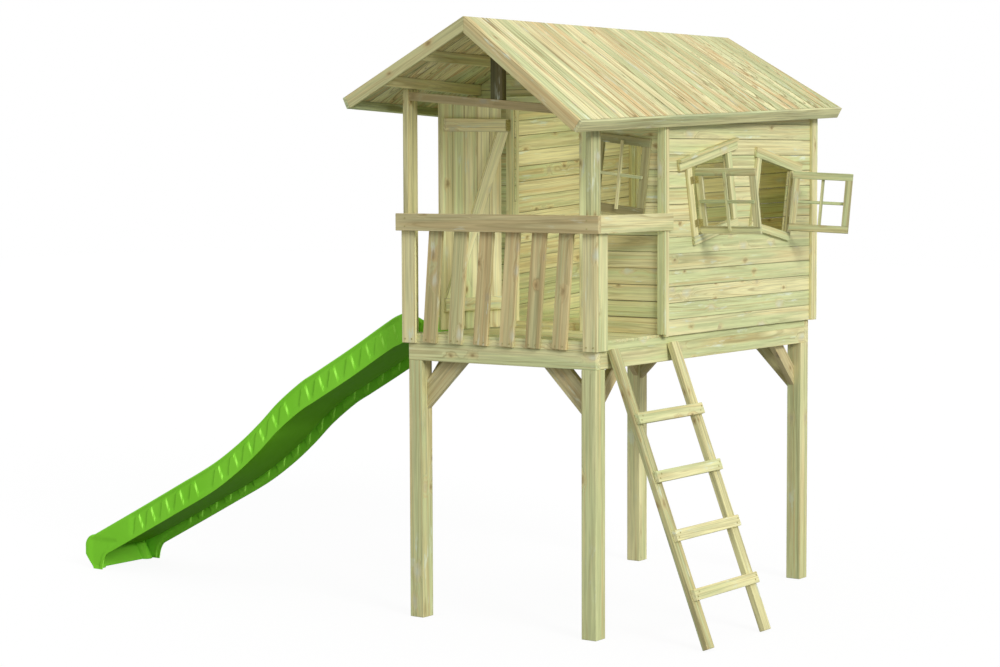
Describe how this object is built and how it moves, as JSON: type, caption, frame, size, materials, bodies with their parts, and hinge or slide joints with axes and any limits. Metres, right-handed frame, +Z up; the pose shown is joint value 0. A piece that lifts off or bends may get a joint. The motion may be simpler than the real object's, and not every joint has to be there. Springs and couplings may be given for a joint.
{
  "type": "stilt playhouse",
  "caption": "Timber playhouse on stilts with a gabled roof, veranda, plank door, hinged windows, a ladder and a wavy plastic slide.",
  "frame": {"origin": "on the ground under the middle of the front right stilt", "axes": "+X to the ladder side, +Y from the veranda to the rear, +Z up"},
  "size_m": [4.4192, 2.71, 3.224],
  "materials": {
    "timber": "treated pine, sawn and planed",
    "slide_plastic": "moulded, glossy",
    "steel": "galvanised"
  },
  "bodies": {
    "house": {"balusters": "timber", "bargeboards_front": "timber", "bargeboards_rear": "timber", "beam_front": "timber", "beam_left": "timber", "beam_rear": "timber", "beam_right": "timber", "corner_boards": "timber", "corner_trims": "timber", "cross_beam": "timber", "door_jambs": "timber", "drip_cap": "timber", "fascia_left": "timber", "fascia_right": "timber", "floor_boards": "timber", "floor_frame": "timber", "front_window_frame": "timber", "front_window_muntins": "timber", "hinges_fixed": "steel", "king_post": "timber", "knee_braces_front": "timber", "knee_braces_left": "timber", "knee_braces_rear": "timber", "knee_braces_right": "timber", "ladder_rungs": "timber", "ladder_stringers": "timber", "purlins": "timber", "rail_front": "timber", "rail_side": "timber", "ridge_beam": "timber", "roof_boards_left": "timber", "roof_boards_right": "timber", "screw_heads": "steel", "slide": "slide_plastic", "stilt_front_left": "timber", "stilt_front_right": "timber", "stilt_rear_left": "timber", "stilt_rear_right": "timber", "veranda_post_left": "timber", "veranda_post_right": "timber", "wall_boards_front": "timber", "wall_boards_left": "timber", "wall_boards_rear": "timber", "wall_boards_right": "timber", "wall_frame_front": "timber", "wall_frame_left": "timber", "wall_frame_rear": "timber", "wall_frame_right": "timber", "window_1_trim": "timber", "window_2_trim": "timber"},
    "door": {"door_boards": "timber", "door_rails": "timber", "door_brace": "timber", "door_hinges": "steel"},
    "casement_1": {"casement_1_frame": "timber", "casement_1_muntins": "timber", "casement_1_hinges": "steel"},
    "casement_2": {"casement_2_frame": "timber", "casement_2_muntins": "timber", "casement_2_hinges": "steel"}
  },
  "joints": [
    {"name": "door_hinge", "type": "hinge", "parent": "house", "child": "door", "pos_m": [-0.92, 0.562, 2.18], "axis": [0, 0, 1], "range_deg": [-8, 107]},
    {"name": "casement_1_hinge", "type": "hinge", "parent": "house", "child": "casement_1", "pos_m": [0.085, 0.88489, 2.25832], "axis": [0, -0.1994, 0.9799], "range_deg": [-15, 90]},
    {"name": "casement_2_hinge", "type": "hinge", "parent": "house", "child": "casement_2", "pos_m": [0.085, 1.94494, 2.24265], "axis": [0, -0.1822, -0.9833], "range_deg": [-10, 105]}
  ]
}
